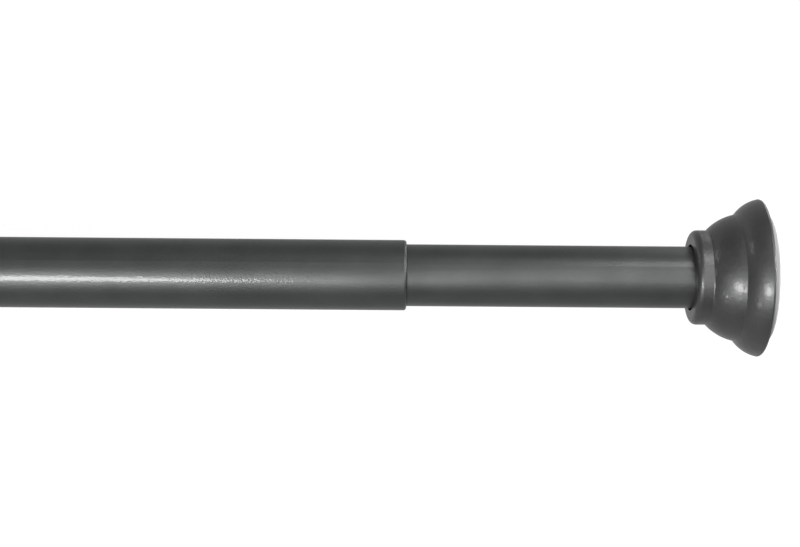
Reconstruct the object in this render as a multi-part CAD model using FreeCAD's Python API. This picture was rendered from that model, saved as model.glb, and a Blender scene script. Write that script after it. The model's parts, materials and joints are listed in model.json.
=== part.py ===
import FreeCAD, Part
import math
import os

# Spring tension rod, in millimetres. The rod lies along +X, with the outer tube's wall pad pressed on x = 0.

# Telescoping tubes
ROD_LENGTH = 660.0
OUTER_TUBE_RADIUS = 12.5
OUTER_TUBE_WALL = 0.6
INNER_TUBE_RADIUS = 11.0
INNER_TUBE_WALL = 0.55
BARE_INNER_TUBE = 101.0
TUBE_OVERLAP = 320.0
MOUTH_ROLL_RADIUS = 1.0
MOUTH_GAP = 0.3

# Rolled grooves that lock the plugs in the tubes
GROOVE_WIDTH = 2.4
GROOVE_DEPTH = 0.45
GROOVE_ROOM = 0.04
PRESS_GAP = 0.02

# Stepped bell of the end cap, with depths from the collar's face and radii from the rod's axis
CAP_DEPTH = 24.5
CAP_RADIUS = 28.0
COLLAR_RADIUS = 16.8
COLLAR_LENGTH = 5.6
COLLAR_EDGE_RADIUS = 2.1
STEP_DEPTH = 15.8
STEP_RADIUS = 22.6
RIM_DEPTH = 23.6
SWELL = 0.95
CREASE_RADIUS = 0.5

# Inside of the end cap
CAP_WALL = 2.4
RIM_LAND = 1.7
COLLAR_GAP = 0.8
SOCKET_GAP = 0.15
HUB_WALL = 2.0
WEB_START = 6.5
WEB_THICKNESS = 3.0
CAVITY_FLOOR = 18.0
CAP_RIBS = 6
RIB_THICKNESS = 1.6

# Rubber wall pad
PAD_THICKNESS = 4.0
PAD_PROUD = 2.5
PAD_RADIUS = 22.9
PAD_EDGE_RADIUS = 0.7
PAD_GAP = 0.2
PAD_LEDGE = 1.0

# Moulded plugs and bushes
PLUG_FLANGE = 2.0
PLUG_LENGTH = 18.0
PLUG_WALL = 1.8
PLUG_GROOVE_INSET = 7.2
PLUG_BOSS_RADIUS = 4.0
PLUG_BOSS_LENGTH = 14.0
PLUG_RIBS = 4
LEAD_IN = 0.8
RUNNING_GAP = 0.1
BUSH_FLANGE = 8.0
BUSH_LENGTH = 20.0
BUSH_WEB = 4.0

# Pan-head screws, all of one size
SCREW_RADIUS = 1.7
SCREW_LENGTH = 16.0
SCREW_POINT = 3.0
SCREW_HEAD_RADIUS = 3.4
SCREW_HEAD_HEIGHT = 2.4
SCREW_HEAD_CROWN = 0.7
CROSS_WIDTH = 0.9
CROSS_LENGTH = 4.0
CROSS_DEPTH = 1.3
SCREW_GAP = 0.05
WASHER_THICKNESS = 1.2

# Twist lock: spindle, cone nut and slotted collet
THREAD_RADIUS = 5.0
THREAD_LENGTH = 40.0
JOURNAL_LENGTH = 10.0
FLANGE_RADIUS = 8.5
FLANGE_THICKNESS = 4.0
WASHER_PLAY = 0.2
SHANK_DIA = 8.0
SHANK_FLATS = 6.0
COLLET_LENGTH = 30.0
COLLET_RING = 8.0
COLLET_MOUTH_RADIUS = 9.6
COLLET_FOOT_RADIUS = 6.9
COLLET_SLOTS = 4
SLOT_WIDTH = 2.6
SLOT_LENGTH = 20.0
GRIP_TEETH = 5
GRIP_PITCH = 3.2
GRIP_WIDTH = 1.2
GRIP_DEPTH = 0.4
CONE_LENGTH = 26.0
CONE_ENTRY = 18.0
CONE_GAP = 0.15
KEY_WIDTH = 2.0
KEY_LENGTH = 18.0
KEY_RADIUS = 11.3

# Thrust spring and its seats
SPRING_STROKE = 30.0
STROKE_MARGIN = 1.0
SPRING_LENGTH = 100.0
SPRING_TURNS = 10
SPRING_RADIUS = 8.3
WIRE_RADIUS = 0.9
WIRE_FLATS = 8
SEAT_RADIUS = 9.8
SEAT_DISC = 3.0
SEAT_PLAY = 0.2
SPIGOT_RADIUS = 6.9
SPIGOT_LENGTH = 6.0
SPRING_GAP = 0.1
STOP_LENGTH = 16.0

# Places along the rod that follow from the sizes above
COLLAR_FACE = PAD_PROUD + CAP_DEPTH
WEB_END = WEB_START + WEB_THICKNESS
TUBE_END = WEB_END + PLUG_FLANGE
PLUG_GROOVE = TUBE_END + PLUG_GROOVE_INSET
MOUTH = ROD_LENGTH - COLLAR_FACE - BARE_INNER_TUBE
INNER_TUBE_START = MOUTH - TUBE_OVERLAP
INNER_TUBE_END = ROD_LENGTH - TUBE_END
BUSH_START = INNER_TUBE_START - BUSH_FLANGE
BUSH_END = INNER_TUBE_START + BUSH_LENGTH
BUSH_GROOVE = INNER_TUBE_START + BUSH_LENGTH / 2
FLANGE_END = BUSH_START - SPRING_STROKE - STROKE_MARGIN
FLANGE_START = FLANGE_END - FLANGE_THICKNESS
COLLET_END = FLANGE_START - WASHER_THICKNESS - 2 * WASHER_PLAY
COLLET_START = COLLET_END - COLLET_LENGTH
CONE_END = COLLET_START + CONE_ENTRY
CONE_START = CONE_END - CONE_LENGTH
SPINDLE_START = FLANGE_START - JOURNAL_LENGTH - THREAD_LENGTH
SEAT_START = BUSH_END + SEAT_PLAY
SPINDLE_END = SEAT_START + SEAT_DISC + SPIGOT_LENGTH / 2
SPRING_START = SEAT_START + SEAT_DISC + SPRING_GAP
SPRING_STOP_FACE = SPRING_START + SPRING_LENGTH + SPRING_GAP
STOP_GROOVE = SPRING_STOP_FACE + STOP_LENGTH / 2
OUTER_TUBE_BORE = OUTER_TUBE_RADIUS - OUTER_TUBE_WALL
INNER_TUBE_BORE = INNER_TUBE_RADIUS - INNER_TUBE_WALL

ORIGIN = FreeCAD.Vector(0, 0, 0)
X_AXIS = FreeCAD.Vector(1, 0, 0)
Y_AXIS = FreeCAD.Vector(0, 1, 0)
Z_AXIS = FreeCAD.Vector(0, 0, 1)
# Bow of a quarter-round edge, as a share of its radius
ROUND = 1 - math.cos(math.pi / 4)


def outline(points):
    """Closed wire through (x, radius) points. A third value bows the edge that ends there, to its left."""
    edges = []
    for before, point in zip(points[-1:] + points[:-1], points):
        start = FreeCAD.Vector(before[0], 0, before[1])
        end = FreeCAD.Vector(point[0], 0, point[1])
        if len(point) == 2:
            edges.append(Part.LineSegment(start, end).toShape())
            continue
        along = end - start
        left = FreeCAD.Vector(-along.z, 0, along.x).normalize()
        middle = (start + end) * 0.5 + left * point[2]
        edges.append(Part.Arc(start, middle, end).toShape())
    return Part.Wire(edges)


def turned(points):
    """Solid of revolution about the rod's axis."""
    return Part.Face(outline(points)).revolve(ORIGIN, X_AXIS, 360)


def cylinder(start, end, radius):
    return Part.makeCylinder(radius, end - start, FreeCAD.Vector(start, 0, 0), X_AXIS)


def blade(start, end, width, reach):
    """Flat plate from the axis out to reach, above the axis."""
    return Part.makeBox(end - start, width, reach, FreeCAD.Vector(start, -width / 2, 0))


def around(shape, count):
    """Copies of a shape spaced evenly about the rod's axis."""
    copies = []
    for i in range(count):
        copy = shape.copy()
        copy.rotate(ORIGIN, X_AXIS, 360 * i / count)
        copies.append(copy)
    return copies


def pockets(points, ribs):
    """Ring that the points turn, parted into pockets by radial ribs."""
    ring = turned(points)
    box = ring.BoundBox
    return ring.cut(around(blade(box.XMin, box.XMax, RIB_THICKNESS, box.ZMax), ribs))


def double_d(start, end, dia, flats):
    """Round bar with two flats."""
    slab = Part.makeBox(end - start, flats, dia, FreeCAD.Vector(start, -flats / 2, -dia / 2))
    return cylinder(start, end, dia / 2).common(slab)


def mirrored(shape):
    """The same piece at the other end of the rod."""
    return shape.mirror(FreeCAD.Vector(ROD_LENGTH / 2, 0, 0), X_AXIS)


def groove_outside(x, radius):
    return [(x - GROOVE_WIDTH / 2, radius), (x + GROOVE_WIDTH / 2, radius, -GROOVE_DEPTH)]


def groove_inside(x, radius):
    return [(x + GROOVE_WIDTH / 2, radius), (x - GROOVE_WIDTH / 2, radius, GROOVE_DEPTH)]


def plug_groove(x, radius):
    """Groove of a plug, a little wider and deeper than the tube's, which is rolled into it."""
    half = GROOVE_WIDTH / 2 + GROOVE_ROOM
    return [(x - half, radius), (x + half, radius, -GROOVE_DEPTH - GROOVE_ROOM - PRESS_GAP)]


def outer_tube():
    """Tube with its mouth rolled in until it nearly meets the inner tube."""
    lip = INNER_TUBE_RADIUS + MOUTH_GAP
    shoulder = OUTER_TUBE_RADIUS - MOUTH_ROLL_RADIUS
    inner_roll = MOUTH_ROLL_RADIUS - OUTER_TUBE_WALL
    points = [(TUBE_END, OUTER_TUBE_BORE), (TUBE_END, OUTER_TUBE_RADIUS)]
    points += groove_outside(PLUG_GROOVE, OUTER_TUBE_RADIUS)
    points += [
        (MOUTH - MOUTH_ROLL_RADIUS, OUTER_TUBE_RADIUS),
        (MOUTH, shoulder, ROUND * MOUTH_ROLL_RADIUS),
        (MOUTH, lip),
        (MOUTH - OUTER_TUBE_WALL, lip),
        (MOUTH - OUTER_TUBE_WALL, shoulder),
        (MOUTH - MOUTH_ROLL_RADIUS, OUTER_TUBE_BORE, -ROUND * inner_roll),
    ]
    points += groove_inside(PLUG_GROOVE, OUTER_TUBE_BORE)
    return turned(points)


def inner_tube():
    """Tube with grooves rolled into the guide bush, the spring stop and the end plug."""
    grooves = [BUSH_GROOVE, STOP_GROOVE, ROD_LENGTH - PLUG_GROOVE]
    points = [(INNER_TUBE_START, INNER_TUBE_BORE), (INNER_TUBE_START, INNER_TUBE_RADIUS)]
    for x in grooves:
        points += groove_outside(x, INNER_TUBE_RADIUS)
    points += [(INNER_TUBE_END, INNER_TUBE_RADIUS), (INNER_TUBE_END, INNER_TUBE_BORE)]
    for x in reversed(grooves):
        points += groove_inside(x, INNER_TUBE_BORE)
    return turned(points)


def end_cap(tube_radius):
    """Stepped bell with a tapered socket for the tube, a screwed web and ribbed pockets behind the pad."""
    rim_edge = CAP_DEPTH - RIM_DEPTH
    rim_flat = CAP_RADIUS - rim_edge
    recess = rim_flat - RIM_LAND
    socket = tube_radius + SOCKET_GAP
    hub = socket + HUB_WALL
    step = COLLAR_FACE - STEP_DEPTH
    crease = COLLAR_FACE - COLLAR_LENGTH
    body = turned([
        (PAD_PROUD, recess),
        (PAD_PROUD, rim_flat),
        (PAD_PROUD + rim_edge, CAP_RADIUS, ROUND * rim_edge),
        (step, STEP_RADIUS, SWELL),
        (crease, COLLAR_RADIUS, SWELL),
        (COLLAR_FACE - COLLAR_EDGE_RADIUS, COLLAR_RADIUS),
        (COLLAR_FACE, COLLAR_RADIUS - COLLAR_EDGE_RADIUS, ROUND * COLLAR_EDGE_RADIUS),
        (COLLAR_FACE, tube_radius + COLLAR_GAP),
        (WEB_END, socket),
        (WEB_END, SCREW_RADIUS + SCREW_GAP),
        (WEB_START, SCREW_RADIUS + SCREW_GAP),
        (WEB_START, socket),
        (PAD_THICKNESS, socket),
        (PAD_THICKNESS, recess),
    ])
    creases = [(step, STEP_RADIUS), (crease, COLLAR_RADIUS)]
    body = body.makeFillet(CREASE_RADIUS, [ring_edge(body, x, radius) for x, radius in creases])
    cavity = pockets(
        [
            (PAD_THICKNESS, hub),
            (PAD_THICKNESS, recess - PAD_LEDGE),
            (step, STEP_RADIUS - CAP_WALL),
            (CAVITY_FLOOR, COLLAR_RADIUS),
            (CAVITY_FLOOR, hub),
        ],
        CAP_RIBS,
    )
    return body.cut(cavity)


def ring_edge(shape, x, radius):
    """The round edge of a turned shape at a place along the axis."""
    for edge in shape.Edges:
        if isinstance(edge.Curve, Part.Circle):
            centre = edge.Curve.Center
            if abs(centre.x - x) < 1e-6 and abs(edge.Curve.Radius - radius) < 1e-6:
                return edge
    raise ValueError("no round edge there")


def wall_pad():
    """Pad with a flange that seats in the cap's rim and a boss that stands proud of it."""
    recess = CAP_RADIUS - (CAP_DEPTH - RIM_DEPTH) - RIM_LAND
    return turned([
        (0, 0),
        (0, PAD_RADIUS - PAD_EDGE_RADIUS),
        (PAD_EDGE_RADIUS, PAD_RADIUS, ROUND * PAD_EDGE_RADIUS),
        (PAD_PROUD + PAD_GAP, PAD_RADIUS),
        (PAD_PROUD + PAD_GAP, recess - PAD_GAP),
        (PAD_THICKNESS, recess - PAD_GAP),
        (PAD_THICKNESS, 0),
    ])


def tube_plug(tube_radius, bore):
    """Flanged cup pressed in a tube's end, with a ribbed boss for the cap's screw."""
    body_radius = bore - PRESS_GAP
    end = TUBE_END + PLUG_LENGTH
    points = [
        (WEB_END, SCREW_RADIUS + SCREW_GAP),
        (WEB_END, tube_radius),
        (TUBE_END, tube_radius),
        (TUBE_END, body_radius),
    ]
    points += plug_groove(PLUG_GROOVE, body_radius)
    points += [
        (end - LEAD_IN, body_radius),
        (end, body_radius - LEAD_IN),
        (end, SCREW_RADIUS + SCREW_GAP),
    ]
    boss_end = TUBE_END + PLUG_BOSS_LENGTH
    hollow = cylinder(boss_end, end, body_radius - PLUG_WALL)
    ring = [
        (TUBE_END, PLUG_BOSS_RADIUS),
        (TUBE_END, body_radius - PLUG_WALL),
        (boss_end, body_radius - PLUG_WALL),
        (boss_end, PLUG_BOSS_RADIUS),
    ]
    return turned(points).cut([hollow, pockets(ring, PLUG_RIBS)])


def guide_bush():
    """Bush whose flange runs in the outer tube and whose hole keys on the spindle's shank."""
    flange_radius = OUTER_TUBE_BORE - RUNNING_GAP
    body_radius = INNER_TUBE_BORE - PRESS_GAP
    points = [
        (BUSH_START, 0),
        (BUSH_START, flange_radius - LEAD_IN),
        (BUSH_START + LEAD_IN, flange_radius),
        (INNER_TUBE_START - LEAD_IN, flange_radius),
        (INNER_TUBE_START, flange_radius - LEAD_IN),
        (INNER_TUBE_START, body_radius),
    ]
    points += plug_groove(BUSH_GROOVE, body_radius)
    points += [
        (BUSH_END - LEAD_IN, body_radius),
        (BUSH_END, body_radius - LEAD_IN),
        (BUSH_END, 0),
    ]
    boss_radius = SHANK_DIA / 2 + PLUG_WALL
    ring = [
        (INNER_TUBE_START + BUSH_WEB, boss_radius),
        (INNER_TUBE_START + BUSH_WEB, body_radius - PLUG_WALL),
        (BUSH_END, body_radius - PLUG_WALL),
        (BUSH_END, boss_radius),
    ]
    keyway = double_d(BUSH_START, BUSH_END, SHANK_DIA + 2 * RUNNING_GAP, SHANK_FLATS + 2 * RUNNING_GAP)
    return turned(points).cut([keyway, pockets(ring, PLUG_RIBS)])


def spring_stop():
    """Plug held in the inner tube by a rolled groove, with a spigot that centres the spring."""
    body_radius = INNER_TUBE_BORE - PRESS_GAP
    end = SPRING_STOP_FACE + STOP_LENGTH
    spigot_end = SPRING_STOP_FACE - SPIGOT_LENGTH
    points = [
        (spigot_end, 0),
        (spigot_end, SPIGOT_RADIUS - LEAD_IN),
        (spigot_end + LEAD_IN, SPIGOT_RADIUS),
        (SPRING_STOP_FACE, SPIGOT_RADIUS),
        (SPRING_STOP_FACE, body_radius),
    ]
    points += plug_groove(STOP_GROOVE, body_radius)
    points += [(end, body_radius), (end, 0)]
    floor = SPRING_STOP_FACE + SEAT_DISC
    ring = [
        (floor, PLUG_BOSS_RADIUS),
        (floor, body_radius - PLUG_WALL),
        (end, body_radius - PLUG_WALL),
        (end, PLUG_BOSS_RADIUS),
    ]
    return turned(points).cut(pockets(ring, PLUG_RIBS))


def pan_screw(seat):
    """Pan-head self-tapping screw driven towards +X, with its head seated at a place along the axis."""
    head = seat - SCREW_HEAD_HEIGHT
    shoulder = head + SCREW_HEAD_CROWN
    point = seat + SCREW_LENGTH
    screw = turned([
        (head, 0),
        (head, SCREW_HEAD_RADIUS - SCREW_HEAD_CROWN),
        (shoulder, SCREW_HEAD_RADIUS, ROUND * SCREW_HEAD_CROWN),
        (seat, SCREW_HEAD_RADIUS),
        (seat, SCREW_RADIUS),
        (point - SCREW_POINT, SCREW_RADIUS),
        (point, 0),
    ])
    bar = Part.makeBox(
        CROSS_DEPTH,
        CROSS_WIDTH,
        CROSS_LENGTH,
        FreeCAD.Vector(head, -CROSS_WIDTH / 2, -CROSS_LENGTH / 2),
    )
    other_bar = bar.copy()
    other_bar.rotate(ORIGIN, X_AXIS, 90)
    return screw.cut([bar, other_bar])


def pan_screw_back(seat):
    """The same screw driven towards -X."""
    return pan_screw(-seat).mirror(ORIGIN, X_AXIS)


def washer(start, hole, radius):
    end = start + WASHER_THICKNESS
    return turned([(start, hole), (start, radius), (end, radius), (end, hole)])


def spindle():
    """Screw end for the cone, journal and flange that bear on the collet, and keyed shank."""
    bar = turned([
        (SPINDLE_START, 0),
        (SPINDLE_START, THREAD_RADIUS - LEAD_IN),
        (SPINDLE_START + LEAD_IN, THREAD_RADIUS),
        (FLANGE_START, THREAD_RADIUS),
        (FLANGE_START, FLANGE_RADIUS),
        (FLANGE_END, FLANGE_RADIUS),
        (FLANGE_END, 0),
    ])
    shank = double_d(FLANGE_END, SPINDLE_END, SHANK_DIA, SHANK_FLATS)
    pilot = SCREW_RADIUS + SCREW_GAP
    left_pilot = cylinder(SPINDLE_START, SPINDLE_START + SCREW_LENGTH, pilot)
    right_pilot = cylinder(SPINDLE_END - SCREW_LENGTH, SPINDLE_END, pilot)
    return bar.fuse(shank).cut([left_pilot, right_pilot])


def lock_collet():
    """Sleeve slotted into fingers, with a tapered bore for the cone and teeth that grip the tube."""
    radius = OUTER_TUBE_BORE - RUNNING_GAP
    ring_start = COLLET_END - COLLET_RING
    points = [
        (COLLET_START, COLLET_MOUTH_RADIUS),
        (COLLET_START, radius - LEAD_IN),
        (COLLET_START + LEAD_IN, radius),
    ]
    for i in range(GRIP_TEETH):
        tooth = COLLET_START + (i + 1) * GRIP_PITCH
        points += [(tooth, radius), (tooth, radius - GRIP_DEPTH), (tooth + GRIP_WIDTH, radius)]
    points += [
        (ring_start, radius),
        (ring_start, radius - GRIP_DEPTH),
        (COLLET_END, radius - GRIP_DEPTH),
        (COLLET_END, THREAD_RADIUS + RUNNING_GAP),
        (ring_start, THREAD_RADIUS + RUNNING_GAP),
        (ring_start, COLLET_FOOT_RADIUS),
    ]
    slot_end = COLLET_START + SLOT_LENGTH
    slot = blade(COLLET_START, slot_end, SLOT_WIDTH, OUTER_TUBE_RADIUS)
    relief = Part.makeCylinder(SLOT_WIDTH / 2, OUTER_TUBE_RADIUS, FreeCAD.Vector(slot_end, 0, 0), Z_AXIS)
    return turned(points).cut(around(slot.fuse(relief), COLLET_SLOTS))


def lock_cone():
    """Cone nut, parallel to the collet's bore, with keys that ride in the collet's slots."""
    slope = (COLLET_MOUTH_RADIUS - COLLET_FOOT_RADIUS) / (COLLET_LENGTH - COLLET_RING)
    small_radius = COLLET_MOUTH_RADIUS - CONE_GAP - slope * CONE_ENTRY
    large_radius = small_radius + slope * CONE_LENGTH
    bore = THREAD_RADIUS + CONE_GAP
    cone = turned([
        (CONE_START, bore),
        (CONE_START, large_radius - LEAD_IN),
        (CONE_START + LEAD_IN, large_radius - slope * LEAD_IN),
        (CONE_END, small_radius),
        (CONE_END, bore),
    ])
    key_start = CONE_START + LEAD_IN
    key = blade(key_start, key_start + KEY_LENGTH, KEY_WIDTH, KEY_RADIUS)
    core = cylinder(CONE_START, CONE_END, bore)
    return cone.fuse(around(key, COLLET_SLOTS)).cut(core).removeSplitter()


def spring_seat():
    """Flanged cup screwed on the spindle's end, which carries the spring."""
    face = SEAT_START + SEAT_DISC
    end = face + SPIGOT_LENGTH
    seat = turned([
        (SEAT_START, 0),
        (SEAT_START, SEAT_RADIUS),
        (face, SEAT_RADIUS),
        (face, SPIGOT_RADIUS),
        (end - LEAD_IN, SPIGOT_RADIUS),
        (end, SPIGOT_RADIUS - LEAD_IN),
        (end, 0),
    ])
    socket = double_d(SEAT_START, SPINDLE_END, SHANK_DIA + 2 * SCREW_GAP, SHANK_FLATS + 2 * SCREW_GAP)
    hole = cylinder(SPINDLE_END, end, SCREW_RADIUS + SCREW_GAP)
    return seat.cut([socket, hole])


def spring():
    """Compression spring with ends ground flat. Its round wire is drawn with a few flats along it."""
    pitch = SPRING_LENGTH / SPRING_TURNS
    path = Part.Wire(Part.makeHelix(pitch, SPRING_LENGTH, SPRING_RADIUS))
    corner = WIRE_RADIUS / math.cos(math.pi / WIRE_FLATS)
    section = []
    for i in range(WIRE_FLATS + 1):
        angle = 2 * math.pi * (i + 0.5) / WIRE_FLATS
        section.append(FreeCAD.Vector(SPRING_RADIUS + corner * math.cos(angle), 0, corner * math.sin(angle)))
    coil = path.makePipeShell([Part.makePolygon(section)], True, True)
    coil.rotate(ORIGIN, Y_AXIS, 90)
    coil.translate(FreeCAD.Vector(SPRING_START, 0, 0))
    between_seats = cylinder(SPRING_START, SPRING_START + SPRING_LENGTH, SPRING_RADIUS + 2 * WIRE_RADIUS)
    return coil.common(between_seats)


def pieces():
    """Every separate piece of the rod by its name."""
    pad = wall_pad()
    stop_seat = SPINDLE_START - WASHER_THICKNESS
    return {
        "outer_tube": outer_tube(),
        "outer_tube_plug": tube_plug(OUTER_TUBE_RADIUS, OUTER_TUBE_BORE),
        "outer_cap": end_cap(OUTER_TUBE_RADIUS),
        "outer_pad": pad,
        "outer_cap_screw": pan_screw(WEB_START),
        "lock_collet": lock_collet(),
        "lock_cone": lock_cone(),
        "spindle": spindle(),
        "thrust_washer": washer(COLLET_END + WASHER_PLAY, THREAD_RADIUS + CONE_GAP, FLANGE_RADIUS),
        "stop_washer": washer(stop_seat, SCREW_RADIUS + SCREW_GAP, FLANGE_RADIUS),
        "stop_screw": pan_screw(stop_seat),
        "spring_seat": spring_seat(),
        "seat_screw": pan_screw_back(SEAT_START + SEAT_DISC + SPIGOT_LENGTH),
        "spring": spring(),
        "inner_tube": inner_tube(),
        "guide_bush": guide_bush(),
        "spring_stop": spring_stop(),
        "inner_tube_plug": mirrored(tube_plug(INNER_TUBE_RADIUS, INNER_TUBE_BORE)),
        "inner_cap": mirrored(end_cap(INNER_TUBE_RADIUS)),
        "inner_pad": mirrored(pad),
        "inner_cap_screw": mirrored(pan_screw(WEB_START)),
    }


def main():
    os.makedirs("parts", exist_ok=True)
    for name, shape in pieces().items():
        shape.exportStep(f"parts/{name}.step")


main()
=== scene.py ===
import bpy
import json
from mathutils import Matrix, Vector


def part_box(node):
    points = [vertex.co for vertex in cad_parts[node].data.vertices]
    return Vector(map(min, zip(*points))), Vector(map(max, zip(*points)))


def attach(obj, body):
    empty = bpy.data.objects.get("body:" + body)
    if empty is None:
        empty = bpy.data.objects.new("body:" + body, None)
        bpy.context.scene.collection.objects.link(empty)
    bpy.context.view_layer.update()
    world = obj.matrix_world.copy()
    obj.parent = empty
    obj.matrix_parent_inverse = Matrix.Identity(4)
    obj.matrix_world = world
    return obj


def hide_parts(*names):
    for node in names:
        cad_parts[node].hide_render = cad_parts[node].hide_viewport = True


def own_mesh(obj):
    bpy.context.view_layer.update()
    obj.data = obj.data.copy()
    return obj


bl_info = {
    "name": "Spring Tension Rod",
    "version": (1, 0, 0),
    "blender": (4, 5, 0),
    "location": "3D View > Sidebar > Tension Rod",
    "description": "Paint, wall pads, twist lock and spring of a telescopic curtain rod",
    "category": "Object",
}

import json
import math

import bpy
from bpy.props import FloatProperty, FloatVectorProperty, IntProperty, PointerProperty
from mathutils import Matrix, Vector

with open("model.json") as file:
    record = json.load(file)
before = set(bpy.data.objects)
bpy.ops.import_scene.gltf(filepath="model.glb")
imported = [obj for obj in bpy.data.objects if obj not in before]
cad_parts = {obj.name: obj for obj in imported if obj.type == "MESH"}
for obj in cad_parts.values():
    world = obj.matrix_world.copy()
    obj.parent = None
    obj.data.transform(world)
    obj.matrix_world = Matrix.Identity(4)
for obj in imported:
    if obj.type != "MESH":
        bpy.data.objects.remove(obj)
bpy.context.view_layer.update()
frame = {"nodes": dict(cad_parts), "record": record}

MM = 0.001
MICRON = 0.000001

# CAD nodes that take a finish together
TUBES = ["outer_tube", "inner_tube"]
CAPS = ["outer_cap", "inner_cap"]
MOULDINGS = ["outer_tube_plug", "inner_tube_plug", "guide_bush", "spring_stop", "spring_seat"]
LOCK_MOULDINGS = ["lock_collet", "lock_cone"]
WASHERS = ["stop_washer", "thrust_washer"]

# Screws by the end of the rod that they are driven towards
SCREWS_TO_INNER_END = ["outer_cap_screw", "stop_screw"]
SCREWS_TO_OUTER_END = ["seat_screw", "inner_cap_screw"]

# Bodies, places and sizes from the frame
BODIES = frame["record"]["behaviour"]["bodies"]
ROD_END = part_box("inner_pad")[1][0]
CAP_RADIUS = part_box("inner_cap")[1][2]
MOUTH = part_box("outer_tube")[1][0]
SPRING_ENDS = (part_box("spring")[0][0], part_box("spring")[1][0])
SPRING_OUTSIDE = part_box("spring")[1][2]
PAD_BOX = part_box("outer_pad")

# Fineness of the meshes
PAD_SIDES = 128
FLOOR_SIDES = 96
SPINDLE_SIDES = 64
BAR_SIDES = 48
HOLE_SIDES = 32
WIRE_SIDES = 18
COIL_STEPS = 48
THREAD_STEPS = 32
ROUNDING_STEPS = 5

# Sharpest edge, in degrees, that is still shaded smooth
COIL_SMOOTH = 50
PAD_SMOOTH = 40
THREAD_SMOOTH = 35

# Allowances for joining and cutting
OVERLAP = 1 * MM
CREST_CLEARANCE = 20 * MICRON
WELD_DISTANCE = 1 * MICRON
CUT_TOLERANCE = 0.1 * MICRON

# Least share of a face's normal that lies along the rod on an end face
END_FACING = 0.9

# Outline of one thread tooth, in shares of the pitch along the rod and of the depth outwards
TOOTH = ((0.25, 0), (0.22, 1), (0.28, 0), (0.25, -1))

# Turns swept before a thread's start, and in all beyond its length, which the end cuts take off
TURNS_BEFORE = 2
TURNS_BEYOND = 3

# Plain middle of a wall pad in ring pitches, and the softening of its edges
PAD_MIDDLE = 0.5
PAD_BEVEL = 0.14 * MM
PAD_BEVEL_STEPS = 2
PAD_BEVEL_DEGREES = 50

# Range that a noise pattern mostly keeps to
NOISE_LOW = 0.3
NOISE_HIGH = 0.7

# Floor in metres, camera sensor in millimetres, and where the camera starts to see
FLOOR_RADIUS = 40
SENSOR_WIDTH = 36
CLIP_START = 10 * MM

# Places and tones of the sky, from the far side of the rod to the camera's side
SKY_TONES = (
    (0, 0.65),
    (0.06, 0.6),
    (0.18, 0.45),
    (0.33, 0.44),
    (0.42, 0.39),
    (0.5, 0.2),
    (0.58, 0.115),
    (0.7, 0.09),
    (1, 0.08),
)


def colour(name, description, default):
    """Property for a finish's colour."""
    return FloatVectorProperty(
        name=name, description=description, subtype="COLOR", size=3, min=0, max=1, default=default
    )


def factor(name, description, default):
    """Property for a share from 0 to 1."""
    return FloatProperty(
        name=name, description=description, subtype="FACTOR", min=0, max=1, default=default
    )


def length(name, description, default):
    """Property for a length in metres."""
    return FloatProperty(
        name=name, description=description, unit="LENGTH", precision=5, default=default
    )


def power(name, description, watts):
    """Property for the power of a light."""
    return FloatProperty(name=name, description=description, unit="POWER", min=0, default=watts)


def angle(name, description, degrees):
    """Property for an angle, given in degrees."""
    return FloatProperty(
        name=name, description=description, subtype="ANGLE", default=math.radians(degrees)
    )


def count(name, description, default):
    """Property for a number of like forms."""
    return IntProperty(name=name, description=description, min=1, default=default)


class RodPaint(bpy.types.PropertyGroup):
    """Satin charcoal paint of the tubes and caps."""

    roughness: factor("Roughness", "Spread of the paint's broad sheen", 0.46)
    gloss: factor("Gloss", "Strength of the sharp reflection over the sheen", 0.26)
    flake: factor("Flake", "Share of metal flake in the paint", 0.75)


class RodTubeCoat(bpy.types.PropertyGroup):
    """Colour and surface of the paint on the tubes."""

    paint_colour: colour("Paint Colour", "Paint of the two tubes", (0.083, 0.087, 0.086))
    gloss_roughness: factor("Gloss Roughness", "Spread of the sharp reflection", 0.075)
    lump_depth: length("Lump Depth", "Height of the slow lumps under the paint", 6 * MICRON)
    peel_size: length("Peel Size", "Distance between the ripples of the paint", 0.85 * MM)
    peel_depth: length("Peel Depth", "Height of the ripples of the paint", 44 * MICRON)
    grain_depth: length("Grain Depth", "Height of the fine grain of the paint", 12 * MICRON)


class RodCapCoat(bpy.types.PropertyGroup):
    """Colour and surface of the paint on the caps."""

    paint_colour: colour("Paint Colour", "Paint of the stepped end caps", (0.086, 0.0895, 0.087))
    gloss_roughness: factor("Gloss Roughness", "Spread of the sharp reflection", 0.1)
    lump_depth: length("Lump Depth", "Height of the slow lumps under the paint", 70 * MICRON)
    peel_size: length("Peel Size", "Distance between the ripples of the paint", 0.6 * MM)
    peel_depth: length("Peel Depth", "Height of the ripples of the paint", 38 * MICRON)
    grain_depth: length("Grain Depth", "Height of the fine grain of the paint", 26 * MICRON)


class RodPads(bpy.types.PropertyGroup):
    """Rubber wall pads."""

    pad_colour: colour("Pad Colour", "Rubber of the wall pads", (0.42, 0.42, 0.42))
    boss_radius: length("Boss Radius", "Radius of the part proud of the cap", 22.9 * MM)
    flange_depth: length("Flange Depth", "Thickness of the flange in the cap", 1.3 * MM)
    edge_radius: length("Edge Radius", "Rounding of the boss's edge", 0.7 * MM)
    grip_rings: count("Grip Rings", "Rings moulded in the wall face", 6)
    groove_width: length("Groove Width", "Width of the groove between two rings", 1.2 * MM)
    groove_depth: length("Groove Depth", "Depth of the groove between two rings", 0.5 * MM)


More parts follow.
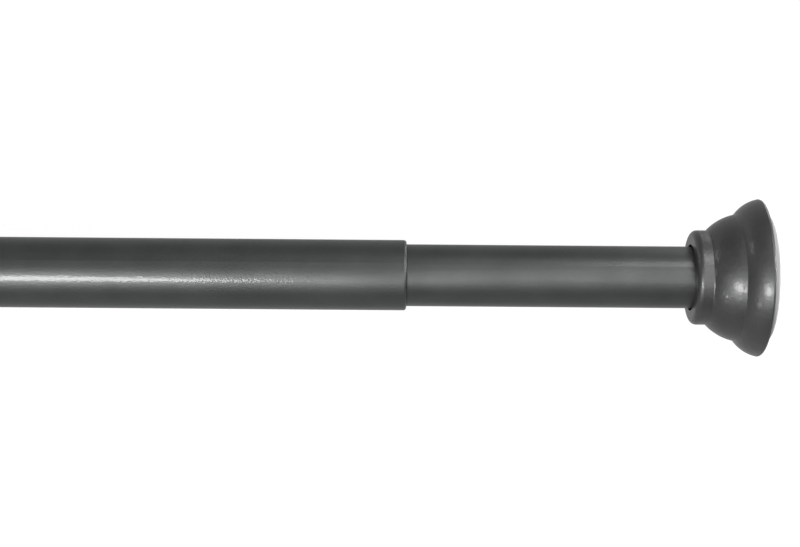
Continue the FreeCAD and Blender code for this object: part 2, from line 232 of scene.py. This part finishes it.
class RodWorks(bpy.types.PropertyGroup):
    """Mouldings, lock and spring inside the tubes."""

    plug_colour: colour("Plug Colour", "Plastic of the plugs and bushes", (0.018, 0.018, 0.019))
    plug_roughness: factor("Plug Roughness", "Spread of the plugs' sheen", 0.5)
    lock_colour: colour("Lock Colour", "Natural plastic of the twist lock", (0.66, 0.64, 0.58))
    lock_roughness: factor("Lock Roughness", "Spread of the twist lock's sheen", 0.38)
    zinc_colour: colour("Zinc Colour", "Plate of the screws and washers", (0.60, 0.60, 0.58))
    wire_colour: colour("Wire Colour", "Drawn wire of the spring", (0.34, 0.34, 0.35))
    spring_turns: count("Spring Turns", "Turns of the thrust spring", 10)
    wire_radius: length("Wire Radius", "Radius of the spring's wire", 0.9 * MM)


class RodSpindle(bpy.types.PropertyGroup):
    """Threaded spindle of the twist lock."""

    thread_radius: length("Thread Radius", "Crest of the thread", 4.95 * MM)
    thread_depth: length("Thread Depth", "Depth of the thread", 0.9 * MM)
    thread_pitch: length("Thread Pitch", "Distance between two turns of the thread", 2.5 * MM)
    thread_length: length("Thread Length", "Length of the threaded end", 40 * MM)
    lead_in: length("Lead-In", "Chamfer at the thread's start", 0.8 * MM)
    journal_radius: length("Journal Radius", "Radius of the journal behind the thread", 5 * MM)
    journal_length: length("Journal Length", "Length of the journal behind the thread", 10 * MM)
    flange_thickness: length("Flange Thickness", "Thickness of the thrust flange", 4 * MM)
    shank_radius: length("Shank Radius", "Radius of the keyed shank", 4 * MM)
    shank_flats: length("Shank Flats", "Distance across the flats of the keyed shank", 6 * MM)
    pilot_radius: length("Pilot Radius", "Radius of the screw hole in each end", 1.75 * MM)
    pilot_depth: length("Pilot Depth", "Depth of the screw hole in each end", 16 * MM)


class RodScrews(bpy.types.PropertyGroup):
    """Self-tapping screws with pan heads."""

    thread_radius: length("Thread Radius", "Crest of the thread", 1.68 * MM)
    thread_depth: length("Thread Depth", "Depth of the thread", 0.45 * MM)
    thread_pitch: length("Thread Pitch", "Distance between two turns of the thread", 1.4 * MM)
    point: length("Point", "Length of the tapered point", 3 * MM)
    neck: length("Neck", "Length of the plain neck under the head", 0.6 * MM)
    head_height: length("Head Height", "Height of the head", 2.4 * MM)
    crown: length("Crown", "Rounding of the head", 0.7 * MM)
    recess_span: length("Recess Span", "Width of the cross recess", 4 * MM)
    recess_width: length("Recess Width", "Width of one slot of the cross recess", 0.9 * MM)
    recess_depth: length("Recess Depth", "Depth of the cross recess", 1.3 * MM)


class RodStage(bpy.types.PropertyGroup):
    """Floor, light and camera."""

    floor_colour: colour("Floor Colour", "Pale studio floor", (0.16, 0.16, 0.16))
    floor_glow: FloatProperty(
        name="Floor Glow", description="Light that the floor gives off itself", default=0.9
    )
    lens: FloatProperty(
        name="Lens", description="Focal length of the camera", unit="CAMERA", default=76.05
    )
    camera_place: length("Camera Place", "Place of the camera along the rod", MOUTH - 10.64 * MM)
    camera_distance: length("Camera Distance", "Camera's distance from the axis", 599.95 * MM)
    camera_rise: length("Camera Rise", "Shift of the camera across the rod", 0.59 * MM)
    elevation: angle("Elevation", "Height of the camera above the horizon", 70)
    yaw: angle("Yaw", "Turn of the camera towards the inner tube's end", 0.802)
    roll: angle("Roll", "Tilt of the camera about its own axis", 0.45)
    key_power: power("Key Power", "Power of the main light", 7.4)
    side_power: power("Side Power", "Power of the high light", 2.0)
    fill_power: power("Fill Power", "Power of the dim light", 2.0)
    low_power: power("Low Power", "Power of the small low light", 2.6)
    rim_power: power("Rim Power", "Power of the light on the inner tube's far edge", 0.095)
    end_power: power("End Power", "Power of the light behind each end", 0.45)
    sky_height: angle("Sky Height", "Height above the horizon of the sky's dimmest part", 83)
    backdrop: factor("Backdrop", "Tone of the backdrop behind the floor", 0.93)


class Finish:
    """Procedural finish that is laid out in the piece's own coordinates."""

    def __init__(self, name):
        self.material = bpy.data.materials.new(name)
        self.material.use_nodes = True
        self.tree = self.material.node_tree
        self.shader = self.tree.nodes["Principled BSDF"]
        self.place = self.node("ShaderNodeTexCoord").outputs["Object"]

    def node(self, kind, **inputs):
        """New node whose inputs are given by name, with underscores for spaces."""
        node = self.tree.nodes.new(kind)
        self.fill(node, inputs)
        return node

    def set(self, **inputs):
        """Inputs of the shader, by name."""
        self.fill(self.shader, inputs)

    def fill(self, node, inputs):
        """Feed a node's inputs from a table by name."""
        for key, value in inputs.items():
            self.feed(node.inputs[key.replace("_", " ")], value)

    def feed(self, socket, value):
        """Link an output to a socket, or set the socket to a plain value."""
        if isinstance(value, bpy.types.NodeSocket):
            self.tree.links.new(value, socket)
        else:
            socket.default_value = value

    def noise(self, size, detail, stretch=(1, 1, 1)):
        """Cloudy pattern in patches about size across, drawn out along an axis by stretch."""
        scale = [1 / (size * part) for part in stretch]
        placed = self.node("ShaderNodeMapping", Vector=self.place, Scale=scale).outputs["Vector"]
        cloud = self.node("ShaderNodeTexNoise", Vector=placed, Scale=1.0, Detail=detail)
        return cloud.outputs["Fac"]

    def spread(self, pattern, low, high):
        """Pattern brought to the range from low to high."""
        ranged = self.node(
            "ShaderNodeMapRange",
            Value=pattern,
            From_Min=NOISE_LOW,
            From_Max=NOISE_HIGH,
            To_Min=low,
            To_Max=high,
        )
        return ranged.outputs["Result"]

    def mottled(self, pattern, base, dark, light):
        """Colour that goes from dark times the base to light times the base, by the pattern."""
        mix = self.node("ShaderNodeMix")
        mix.data_type = "RGBA"
        sockets = {socket.identifier: socket for socket in mix.inputs}
        self.feed(sockets["Factor_Float"], self.spread(pattern, low=0, high=1))
        for key, share in (("A_Color", dark), ("B_Color", light)):
            self.feed(sockets[key], (*(part * share for part in base), 1))
        return next(socket for socket in mix.outputs if socket.identifier == "Result_Color")

    def relief(self, height, depth, under=None):
        """Bumps of a given depth in metres, on top of other bumps."""
        bump = self.node("ShaderNodeBump", Height=height, Distance=depth, Strength=1.0)
        if under is not None:
            self.feed(bump.inputs["Normal"], under)
        return bump.outputs["Normal"]


def paint_finish(name, paint, coat):
    """Satin spray paint: a broad sheen under a thin gloss, with orange peel over slow lumps."""
    finish = Finish(name)
    clouds = finish.noise(size=14 * MM, detail=3.0)
    specks = finish.noise(size=0.5 * MM, detail=2.0)
    lumps = finish.noise(size=2.4 * MM, detail=1.0)
    peel = finish.noise(size=coat.peel_size, detail=2.0)
    grain = finish.noise(size=0.36 * MM, detail=1.0)
    lumpy = finish.relief(lumps, coat.lump_depth)
    rippled = finish.relief(peel, coat.peel_depth, under=lumpy)
    rough = finish.relief(grain, coat.grain_depth, under=rippled)
    finish.set(
        Base_Color=finish.mottled(clouds, coat.paint_colour, dark=0.9, light=1.1),
        Roughness=finish.spread(specks, low=paint.roughness - 0.05, high=paint.roughness + 0.05),
        Metallic=paint.flake,
        Coat_Weight=paint.gloss,
        Coat_Roughness=coat.gloss_roughness,
        Normal=rough,
        Coat_Normal=rough,
    )
    return finish.material


def rubber_finish(name, base):
    """Matte moulded rubber with a fine tooth and a little bloom."""
    finish = Finish(name)
    bloom = finish.noise(size=9 * MM, detail=4.0)
    tooth = finish.noise(size=0.22 * MM, detail=2.0)
    finish.set(
        Base_Color=finish.mottled(bloom, base, dark=0.93, light=1.05),
        Roughness=finish.spread(tooth, low=0.7, high=0.85),
        Specular_IOR_Level=0.3,
        Normal=finish.relief(tooth, depth=18 * MICRON),
    )
    return finish.material


def moulded_finish(name, base, roughness):
    """Moulded plastic with a light spark texture."""
    finish = Finish(name)
    flow = finish.noise(size=6 * MM, detail=3.0, stretch=(3, 1, 1))
    spark = finish.noise(size=0.3 * MM, detail=2.0)
    finish.set(
        Base_Color=finish.mottled(flow, base, dark=0.92, light=1.06),
        Roughness=finish.spread(spark, low=roughness - 0.06, high=roughness + 0.08),
        Normal=finish.relief(spark, depth=10 * MICRON),
    )
    return finish.material


def zinc_finish(name, base):
    """Zinc plate: mottled bright metal."""
    finish = Finish(name)
    mottle = finish.noise(size=0.8 * MM, detail=4.0)
    finish.set(
        Base_Color=finish.mottled(mottle, base, dark=0.8, light=1.1),
        Metallic=1.0,
        Roughness=finish.spread(mottle, low=0.26, high=0.46),
        Normal=finish.relief(mottle, depth=6 * MICRON),
    )
    return finish.material


def wire_finish(name, base):
    """Drawn and oil-tempered wire with fine scratches round the coil."""
    finish = Finish(name)
    oil = finish.noise(size=5 * MM, detail=3.0)
    drawn = finish.noise(size=0.12 * MM, detail=2.0, stretch=(1, 12, 12))
    finish.set(
        Base_Color=finish.mottled(oil, base, dark=0.7, light=1.15),
        Metallic=1.0,
        Roughness=finish.spread(oil, low=0.22, high=0.4),
        Normal=finish.relief(drawn, depth=4 * MICRON),
    )
    return finish.material


def floor_finish(name, stage):
    """Pale studio floor that glows a little, so that shadows stay faint."""
    finish = Finish(name)
    wear = finish.noise(size=400 * MM, detail=3.0)
    finish.set(
        Base_Color=finish.mottled(wear, stage.floor_colour, dark=0.99, light=1),
        Roughness=0.9,
        Specular_IOR_Level=0.1,
        Emission_Color=(1, 1, 1, 1),
        Emission_Strength=stage.floor_glow,
    )
    return finish.material


def dress(nodes, material):
    """Give CAD nodes a finish in place of their plain colour."""
    for name in nodes:
        piece = frame["nodes"][name]
        piece.data.materials.clear()
        piece.data.materials.append(material)


def only_end_faces(piece, side):
    """In edit mode, select only the faces that look along the rod by +1 or back by -1."""
    bpy.ops.object.mode_set(mode="OBJECT")
    for part in (piece.data.vertices, piece.data.edges, piece.data.polygons):
        for item in part:
            item.select = False
    chosen = 0
    for face in piece.data.polygons:
        face.select = face.normal.x * side > END_FACING
        chosen += face.select
    bpy.ops.object.mode_set(mode="EDIT")
    bpy.ops.mesh.select_mode(type="FACE")
    if not chosen:
        raise RuntimeError(f"no end face of {piece.name} was found to shape")


def only_selected(piece):
    """Make a piece the active object, and the only one selected."""
    bpy.ops.object.select_all(action="DESELECT")
    piece.select_set(True)
    bpy.context.view_layer.objects.active = piece


def finished(piece, name, material, replaced, smooth_degrees):
    """Name a modelled piece, smooth it, dress it, and let it ride in the place of a CAD node."""
    only_selected(piece)
    bpy.ops.object.shade_smooth_by_angle(angle=math.radians(smooth_degrees))
    piece.name = name
    piece.data.name = name
    piece.data.materials.append(material)
    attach(piece, next(body for body, nodes in BODIES.items() if replaced in nodes))
    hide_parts(replaced)


def apply_modifier(piece, kind, **settings):
    """Add a modifier with its settings and apply it."""
    only_selected(piece)
    modifier = piece.modifiers.new(kind.title(), kind)
    for key, value in settings.items():
        setattr(modifier, key, value)
    bpy.ops.object.modifier_apply(modifier=modifier.name)


def bar(start, end, radius, sides=BAR_SIDES):
    """Round bar along the rod, the only object selected."""
    bpy.ops.object.select_all(action="DESELECT")
    bpy.ops.mesh.primitive_cylinder_add(
        vertices=sides,
        radius=radius,
        depth=abs(end - start),
        end_fill_type="NGON",
        location=((start + end) / 2, 0, 0),
        rotation=(0, math.pi / 2, 0),
    )
    bpy.ops.object.transform_apply(location=True, rotation=True, scale=True)
    return bpy.context.object


def extrude(along):
    """In edit mode, draw the selected faces out along the rod."""
    bpy.ops.mesh.extrude_region_move(TRANSFORM_OT_translate={"value": (along, 0, 0)})


def cut_flat(place, outwards):
    """In edit mode, cut off what lies beyond a plane and close the cut."""
    bpy.ops.mesh.select_all(action="SELECT")
    bpy.ops.mesh.bisect(
        plane_co=place,
        plane_no=outwards,
        use_fill=True,
        clear_outer=True,
        threshold=CUT_TOLERANCE,
    )


def wound(piece, start, end, pitch, turns, steps):
    """Sweep a section round the rod's axis along a helix, and cut the ends flat."""
    apply_modifier(
        piece,
        "SCREW",
        axis="X",
        angle=2 * math.pi,
        screw_offset=pitch,
        iterations=turns,
        steps=steps,
        render_steps=steps,
    )
    bpy.ops.object.mode_set(mode="EDIT")
    bpy.ops.mesh.select_all(action="SELECT")
    bpy.ops.mesh.remove_doubles(threshold=WELD_DISTANCE)
    bpy.ops.mesh.fill_holes(sides=0)
    cut_flat((start, 0, 0), (-1, 0, 0))
    cut_flat((end, 0, 0), (1, 0, 0))
    bpy.ops.mesh.select_all(action="SELECT")
    bpy.ops.mesh.normals_make_consistent(inside=False)
    bpy.ops.object.mode_set(mode="OBJECT")


def threaded_bar(start, end, sizes):
    """Bar that is threaded from end to end, swept from the outline of one tooth."""
    pitch, depth = sizes.thread_pitch, sizes.thread_depth
    bpy.ops.object.select_all(action="DESELECT")
    bpy.ops.mesh.primitive_plane_add(size=depth)
    piece = bpy.context.object
    bpy.ops.object.mode_set(mode="EDIT")
    bpy.ops.mesh.select_mode(type="VERT")
    bpy.ops.mesh.select_all(action="SELECT")
    bpy.ops.mesh.merge(type="CENTER")
    root = sizes.thread_radius - depth
    bpy.ops.transform.translate(value=(start - TURNS_BEFORE * pitch, 0, root))
    for along, outwards in TOOTH:
        step = (along * pitch, 0, outwards * depth)
        bpy.ops.mesh.extrude_vertices_move(TRANSFORM_OT_translate={"value": step})
    bpy.ops.object.mode_set(mode="OBJECT")
    turns = math.ceil((end - start) / pitch) + TURNS_BEYOND
    wound(piece, start, end, pitch, turns, THREAD_STEPS)
    return piece


def combine(piece, other, operation):
    """Unite, cut or trim a piece with another, which is used up."""
    apply_modifier(piece, "BOOLEAN", object=other, operation=operation, solver="EXACT")
    bpy.data.objects.remove(other)


def threaded_spindle(sizes):
    """Spindle with a thread, a journal, a thrust flange and a keyed shank, drilled at both ends."""
    low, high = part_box("spindle")
    start, end, flange_radius = low[0], high[0], high[2]
    thread_end = start + sizes.thread_length
    flange_start = thread_end + sizes.journal_length
    flange_end = flange_start + sizes.flange_thickness
    piece = bar(flange_start, flange_end, flange_radius, SPINDLE_SIDES)
    only_end_faces(piece, -1)
    bpy.ops.mesh.inset(thickness=flange_radius - sizes.journal_radius)
    extrude(-sizes.journal_length)
    bpy.ops.object.mode_set(mode="OBJECT")
    shank = bar(flange_end - OVERLAP, end, sizes.shank_radius, SPINDLE_SIDES)
    bpy.ops.object.mode_set(mode="EDIT")
    for side in (-1, 1):
        cut_flat((0, side * sizes.shank_flats / 2, 0), (0, side, 0))
    bpy.ops.object.mode_set(mode="OBJECT")
    combine(piece, shank, "UNION")
    screw_end = threaded_bar(start, thread_end + OVERLAP, sizes)
    chamfered = bar(start, thread_end + 2 * OVERLAP, sizes.journal_radius)
    only_end_faces(chamfered, -1)
    bpy.ops.mesh.bevel(offset=sizes.lead_in, segments=1, affect="EDGES")
    bpy.ops.object.mode_set(mode="OBJECT")
    combine(screw_end, chamfered, "INTERSECT")
    combine(piece, screw_end, "UNION")
    for outside, bottom in (
        (start - OVERLAP, start + sizes.pilot_depth),
        (end + OVERLAP, end - sizes.pilot_depth),
    ):
        combine(piece, bar(outside, bottom, sizes.pilot_radius, HOLE_SIDES), "DIFFERENCE")
    return piece


def pan_screw(sizes):
    """Self-tapping screw with a cross recess, its head at the origin, its point along the rod."""
    low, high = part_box("outer_cap_screw")
    tip, head_radius = high[0] - low[0], high[2]
    seat = sizes.head_height
    neck_radius = sizes.thread_radius - sizes.thread_depth / 2
    piece = bar(0, seat, head_radius)
    only_end_faces(piece, -1)
    bpy.ops.mesh.bevel(offset=sizes.crown, segments=ROUNDING_STEPS, affect="EDGES")
    only_end_faces(piece, 1)
    bpy.ops.mesh.inset(thickness=head_radius - neck_radius)
    extrude(sizes.neck + OVERLAP)
    bpy.ops.object.mode_set(mode="OBJECT")
    shank = threaded_bar(seat + sizes.neck, tip, sizes)
    pointed = bar(seat, tip - sizes.point, sizes.thread_radius + CREST_CLEARANCE)
    only_end_faces(pointed, 1)
    extrude(sizes.point)
    bpy.ops.mesh.merge(type="CENTER")
    bpy.ops.object.mode_set(mode="OBJECT")
    combine(shank, pointed, "INTERSECT")
    combine(piece, shank, "UNION")
    span, width = sizes.recess_span, sizes.recess_width
    for slot in ((width, span), (span, width)):
        bpy.ops.object.select_all(action="DESELECT")
        bpy.ops.mesh.primitive_cube_add(size=1, scale=(2 * sizes.recess_depth, *slot))
        bpy.ops.object.transform_apply(location=True, rotation=True, scale=True)
        combine(piece, bpy.context.object, "DIFFERENCE")
    return piece


def screw_copy(screw, node, driven):
    """Copy of the screw where a CAD screw is, driven along the rod by +1 or back by -1."""
    low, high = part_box(node)
    only_selected(screw)
    bpy.ops.object.duplicate(linked=False)
    piece = bpy.context.object
    piece.location.x = low[0] if driven > 0 else high[0]
    piece.rotation_euler.z = 0 if driven > 0 else math.pi
    bpy.ops.object.transform_apply(location=True, rotation=True, scale=True)
    return piece


def wall_pad(pads, wall, inward):
    """Flanged rubber disc with grip rings at the wall, seated along the rod by +1 or back by -1."""
    thickness = PAD_BOX[1][0] - PAD_BOX[0][0]
    flange_radius = PAD_BOX[1][2]
    rise = thickness - pads.flange_depth
    flange_face = wall + inward * rise
    flange_back = flange_face + inward * pads.flange_depth
    piece = bar(flange_face, flange_back, flange_radius, PAD_SIDES)
    only_end_faces(piece, -inward)
    bpy.ops.mesh.inset(thickness=flange_radius - pads.boss_radius)
    extrude(-inward * (rise - pads.edge_radius))
    for i in range(ROUNDING_STEPS):
        before, after = (math.pi / 2 * part / ROUNDING_STEPS for part in (i, i + 1))
        lift = pads.edge_radius * (math.sin(after) - math.sin(before))
        shrink = pads.edge_radius * (math.cos(before) - math.cos(after))
        extrude(-inward * lift)
        radius = pads.boss_radius - pads.edge_radius * (1 - math.cos(after))
        share = radius / (radius + shrink)
        bpy.ops.transform.resize(value=(1, share, share))
    pitch = (pads.boss_radius - 2 * pads.edge_radius) / (pads.grip_rings + PAD_MIDDLE)
    for _ in range(pads.grip_rings):
        bpy.ops.mesh.inset(thickness=pitch - pads.groove_width)
        extrude(inward * pads.groove_depth)
        bpy.ops.mesh.inset(thickness=pads.groove_width)
        extrude(-inward * pads.groove_depth)
    bpy.ops.object.mode_set(mode="OBJECT")
    apply_modifier(
        piece,
        "BEVEL",
        width=PAD_BEVEL,
        segments=PAD_BEVEL_STEPS,
        limit_method="ANGLE",
        angle_limit=math.radians(PAD_BEVEL_DEGREES),
    )
    return piece


def coil(works):
    """Open coil swept by a Screw modifier from a ring of wire, its ends cut flat."""
    start, end = SPRING_ENDS
    radius = SPRING_OUTSIDE - works.wire_radius
    pitch = (end - start) / works.spring_turns
    bpy.ops.object.select_all(action="DESELECT")
    bpy.ops.mesh.primitive_circle_add(
        vertices=WIRE_SIDES, radius=works.wire_radius, rotation=(math.pi / 2, 0, 0)
    )
    piece = bpy.context.object
    bpy.ops.object.transform_apply(location=True, rotation=True, scale=True)
    bpy.ops.object.mode_set(mode="EDIT")
    bpy.ops.mesh.select_all(action="SELECT")
    bpy.ops.transform.translate(value=(start, 0, -radius))
    bpy.ops.object.mode_set(mode="OBJECT")
    wound(piece, start, end, pitch, works.spring_turns, COIL_STEPS)
    return piece


class ROD_OT_tubes(bpy.types.Operator):
    """Paint the two telescoping tubes"""

    bl_idname = "tension_rod.tubes"
    bl_label = "Paint Tubes"

    def execute(self, context):
        scene = context.scene
        dress(TUBES, paint_finish("tube_paint", scene.rod_paint, scene.rod_tube_coat))
        return {"FINISHED"}


class ROD_OT_caps(bpy.types.Operator):
    """Paint the two stepped end caps"""

    bl_idname = "tension_rod.caps"
    bl_label = "Paint Caps"

    def execute(self, context):
        scene = context.scene
        dress(CAPS, paint_finish("cap_paint", scene.rod_paint, scene.rod_cap_coat))
        return {"FINISHED"}


class ROD_OT_pads(bpy.types.Operator):
    """Model the two rubber wall pads"""

    bl_idname = "tension_rod.pads"
    bl_label = "Model Wall Pads"

    def execute(self, context):
        pads = context.scene.rod_pads
        rubber = rubber_finish("pad_rubber", pads.pad_colour)
        for name, wall, inward in (("outer", 0, 1), ("inner", ROD_END, -1)):
            piece = wall_pad(pads, wall, inward)
            finished(piece, f"{name}_wall_pad", rubber, f"{name}_pad", PAD_SMOOTH)
        return {"FINISHED"}


class ROD_OT_mouldings(bpy.types.Operator):
    """Finish the black plugs, bush, stop and seat inside the tubes"""

    bl_idname = "tension_rod.mouldings"
    bl_label = "Finish Plugs and Bushes"

    def execute(self, context):
        works = context.scene.rod_works
        dress(MOULDINGS, moulded_finish("plug_plastic", works.plug_colour, works.plug_roughness))
        return {"FINISHED"}


class ROD_OT_lock(bpy.types.Operator):
    """Finish the collet and cone of the twist lock and model its threaded spindle"""

    bl_idname = "tension_rod.lock"
    bl_label = "Model Twist Lock"

    def execute(self, context):
        works = context.scene.rod_works
        plastic = moulded_finish("lock_plastic", works.lock_colour, works.lock_roughness)
        dress(LOCK_MOULDINGS, plastic)
        piece = threaded_spindle(context.scene.rod_spindle)
        finished(piece, "threaded_spindle", plastic, "spindle", THREAD_SMOOTH)
        return {"FINISHED"}


class ROD_OT_fasteners(bpy.types.Operator):
    """Finish the washers and model the four screws"""

    bl_idname = "tension_rod.fasteners"
    bl_label = "Model Screws and Washers"

    def execute(self, context):
        zinc = zinc_finish("screw_zinc", context.scene.rod_works.zinc_colour)
        dress(WASHERS, zinc)
        screw = pan_screw(context.scene.rod_screws)
        for nodes, driven in ((SCREWS_TO_INNER_END, 1), (SCREWS_TO_OUTER_END, -1)):
            for node in nodes:
                piece = screw_copy(screw, node, driven)
                finished(piece, f"threaded_{node}", zinc, node, THREAD_SMOOTH)
        bpy.data.objects.remove(screw)
        return {"FINISHED"}


class ROD_OT_spring(bpy.types.Operator):
    """Model the thrust spring"""

    bl_idname = "tension_rod.spring"
    bl_label = "Model Spring"

    def execute(self, context):
        works = context.scene.rod_works
        piece = coil(works)
        wire = wire_finish("spring_wire", works.wire_colour)
        finished(piece, "thrust_spring", wire, "spring", COIL_SMOOTH)
        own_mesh(piece)
        return {"FINISHED"}


def lay_floor(stage):
    """Wide round floor under the caps, which the rod doesn't mirror."""
    bpy.ops.object.select_all(action="DESELECT")
    bpy.ops.mesh.primitive_circle_add(
        vertices=FLOOR_SIDES,
        radius=FLOOR_RADIUS,
        fill_type="NGON",
        location=(ROD_END / 2, 0, -CAP_RADIUS),
    )
    floor = bpy.context.object
    floor.name = "studio_floor"
    floor.data.materials.append(floor_finish("studio_floor", stage))
    floor.visible_glossy = False
    floor.visible_diffuse = False


def tipped(stage):
    """Turn from upright to the camera's elevation, about the rod's axis."""
    return Matrix.Rotation(-stage.elevation, 4, "X")


def around_rod(along, degrees, distance):
    """Place at a distance from the rod's axis, turned up by an angle from the camera's side."""
    turn = math.radians(degrees)
    return along, -distance * math.cos(turn), distance * math.sin(turn)


def soft_light(stage, name, watts, size, place, target, spread=180):
    """Oval softbox at a place seen from the camera's side, turned to a point of the rod."""
    bpy.ops.object.light_add(type="AREA", location=tipped(stage) @ Vector(place))
    light = bpy.context.object
    light.name = name
    light.data.shape = "ELLIPSE"
    light.data.size, light.data.size_y = size
    light.data.energy = watts
    light.data.spread = math.radians(spread)
    aim = Vector((target, 0, 0)) - light.location
    light.rotation_euler = aim.to_track_quat("-Z", "Y").to_euler()
    light.visible_camera = False


def hang_lights(stage):
    """Softboxes round the rod, and a narrow light behind each end."""
    soft_light(
        stage,
        "key_light",
        stage.key_power,
        size=(0.40, 0.22),
        place=around_rod(along=MOUTH - 0.315, degrees=-19.7, distance=0.88),
        target=MOUTH - 0.12,
    )
    soft_light(
        stage,
        "side_light",
        stage.side_power,
        size=(0.44, 0.36),
        place=around_rod(along=MOUTH + 0.34, degrees=44, distance=0.6),
        target=MOUTH + 0.1,
    )
    soft_light(
        stage,
        "fill_light",
        stage.fill_power,
        size=(0.5, 0.75),
        place=(MOUTH + 0.30, -0.62, -0.02),
        target=MOUTH + 0.1,
    )
    soft_light(
        stage,
        "low_light",
        stage.low_power,
        size=(0.2, 0.2),
        place=(-0.7, -0.80, -0.90),
        target=MOUTH,
    )
    soft_light(
        stage,
        "rim_light",
        stage.rim_power,
        size=(0.14, 0.28),
        place=around_rod(along=ROD_END + 0.125, degrees=112, distance=0.32),
        target=MOUTH + 0.09,
        spread=90,
    )
    for name, place, target in (
        ("left_light", (-0.75, 0.5, 0.12), 0),
        ("right_light", (ROD_END + 0.75, 0.12, 0.06), ROD_END),
    ):
        soft_light(
            stage,
            name,
            stage.end_power,
            size=(0.5, 0.5),
            place=tipped(stage).inverted() @ Vector(place),
            target=target,
            spread=16,
        )


def grey(tone):
    """Colour of a plain grey tone."""
    return tone, tone, tone, 1


def studio_sky(stage):
    """World that lights the rod from behind, leaves the camera's side dim and looks white."""
    world = bpy.data.worlds.new("studio_sky")
    world.use_nodes = True
    nodes, links = world.node_tree.nodes, world.node_tree.links
    place = nodes.new("ShaderNodeTexCoord")
    facing = nodes.new("ShaderNodeVectorMath")
    facing.operation = "DOT_PRODUCT"
    dimmest = Matrix.Rotation(-stage.sky_height, 3, "X") @ Vector((0, -1, 0))
    facing.inputs[1].default_value = dimmest
    depth = nodes.new("ShaderNodeMapRange")
    depth.inputs["From Min"].default_value = -1
    ramp = nodes.new("ShaderNodeValToRGB")
    path = nodes.new("ShaderNodeLightPath")
    backdrop = nodes.new("ShaderNodeBackground")
    backdrop.inputs["Color"].default_value = grey(1)
    backdrop.inputs["Strength"].default_value = stage.backdrop
    seen = nodes.new("ShaderNodeMixShader")
    links.new(place.outputs["Generated"], facing.inputs[0])
    links.new(facing.outputs["Value"], depth.inputs["Value"])
    links.new(depth.outputs["Result"], ramp.inputs["Fac"])
    links.new(ramp.outputs["Color"], nodes["Background"].inputs["Color"])
    links.new(path.outputs["Is Camera Ray"], seen.inputs["Fac"])
    links.new(nodes["Background"].outputs["Background"], seen.inputs[1])
    links.new(backdrop.outputs["Background"], seen.inputs[2])
    links.new(seen.outputs["Shader"], nodes["World Output"].inputs["Surface"])
    tones = ramp.color_ramp.elements
    first, *between, last = SKY_TONES
    for element, (_, tone) in zip(tones, (first, last)):
        element.color = grey(tone)
    for position, tone in between:
        tones.new(position).color = grey(tone)
    bpy.context.scene.world = world


def photo_camera(stage):
    """Camera at the photograph's viewing angle."""
    bpy.ops.object.camera_add()
    camera = bpy.context.object
    camera.name = "photo_camera"
    camera.data.lens = stage.lens
    camera.data.sensor_width = SENSOR_WIDTH
    camera.data.clip_start = CLIP_START
    place = Vector((stage.camera_place, -stage.camera_distance, stage.camera_rise))
    level = Matrix.Rotation(math.pi / 2, 4, "X")
    aimed = Matrix.Rotation(-stage.yaw, 4, "Z") @ Matrix.Rotation(-stage.roll, 4, "Y") @ level
    camera.matrix_world = tipped(stage) @ Matrix.Translation(place) @ aimed
    return camera


class ROD_OT_stage(bpy.types.Operator):
    """Lay the floor, hang the lights and set up the camera"""

    bl_idname = "tension_rod.stage"
    bl_label = "Set Stage"

    def execute(self, context):
        stage = context.scene.rod_stage
        lay_floor(stage)
        hang_lights(stage)
        studio_sky(stage)
        context.scene.camera = photo_camera(stage)
        context.scene.view_settings.view_transform = "Standard"
        return {"FINISHED"}


class ROD_PT_panel(bpy.types.Panel):
    """Steps that dress the tension rod"""

    bl_idname = "ROD_PT_panel"
    bl_label = "Tension Rod"
    bl_space_type = "VIEW_3D"
    bl_region_type = "UI"
    bl_category = "Tension Rod"

    def draw(self, context):
        for step in STEPS:
            self.layout.operator(step.bl_idname)


STEPS = [
    ROD_OT_tubes,
    ROD_OT_caps,
    ROD_OT_pads,
    ROD_OT_mouldings,
    ROD_OT_lock,
    ROD_OT_fasteners,
    ROD_OT_spring,
    ROD_OT_stage,
]
SETTINGS = {
    "rod_paint": RodPaint,
    "rod_tube_coat": RodTubeCoat,
    "rod_cap_coat": RodCapCoat,
    "rod_pads": RodPads,
    "rod_works": RodWorks,
    "rod_spindle": RodSpindle,
    "rod_screws": RodScrews,
    "rod_stage": RodStage,
}


def register():
    """Register the settings, the steps and the panel."""
    for kind in [*SETTINGS.values(), *STEPS, ROD_PT_panel]:
        bpy.utils.register_class(kind)
    for name, kind in SETTINGS.items():
        setattr(bpy.types.Scene, name, PointerProperty(type=kind))


def unregister():
    """Take away the settings, the steps and the panel."""
    for name in SETTINGS:
        delattr(bpy.types.Scene, name)
    for kind in [ROD_PT_panel, *reversed(STEPS), *SETTINGS.values()]:
        bpy.utils.unregister_class(kind)


def main():
    register()
    bpy.ops.tension_rod.tubes()
    bpy.ops.tension_rod.caps()
    bpy.ops.tension_rod.pads()
    bpy.ops.tension_rod.mouldings()
    bpy.ops.tension_rod.lock()
    bpy.ops.tension_rod.fasteners()
    bpy.ops.tension_rod.spring()
    bpy.ops.tension_rod.stage()


if __name__ == "__main__":
    main()
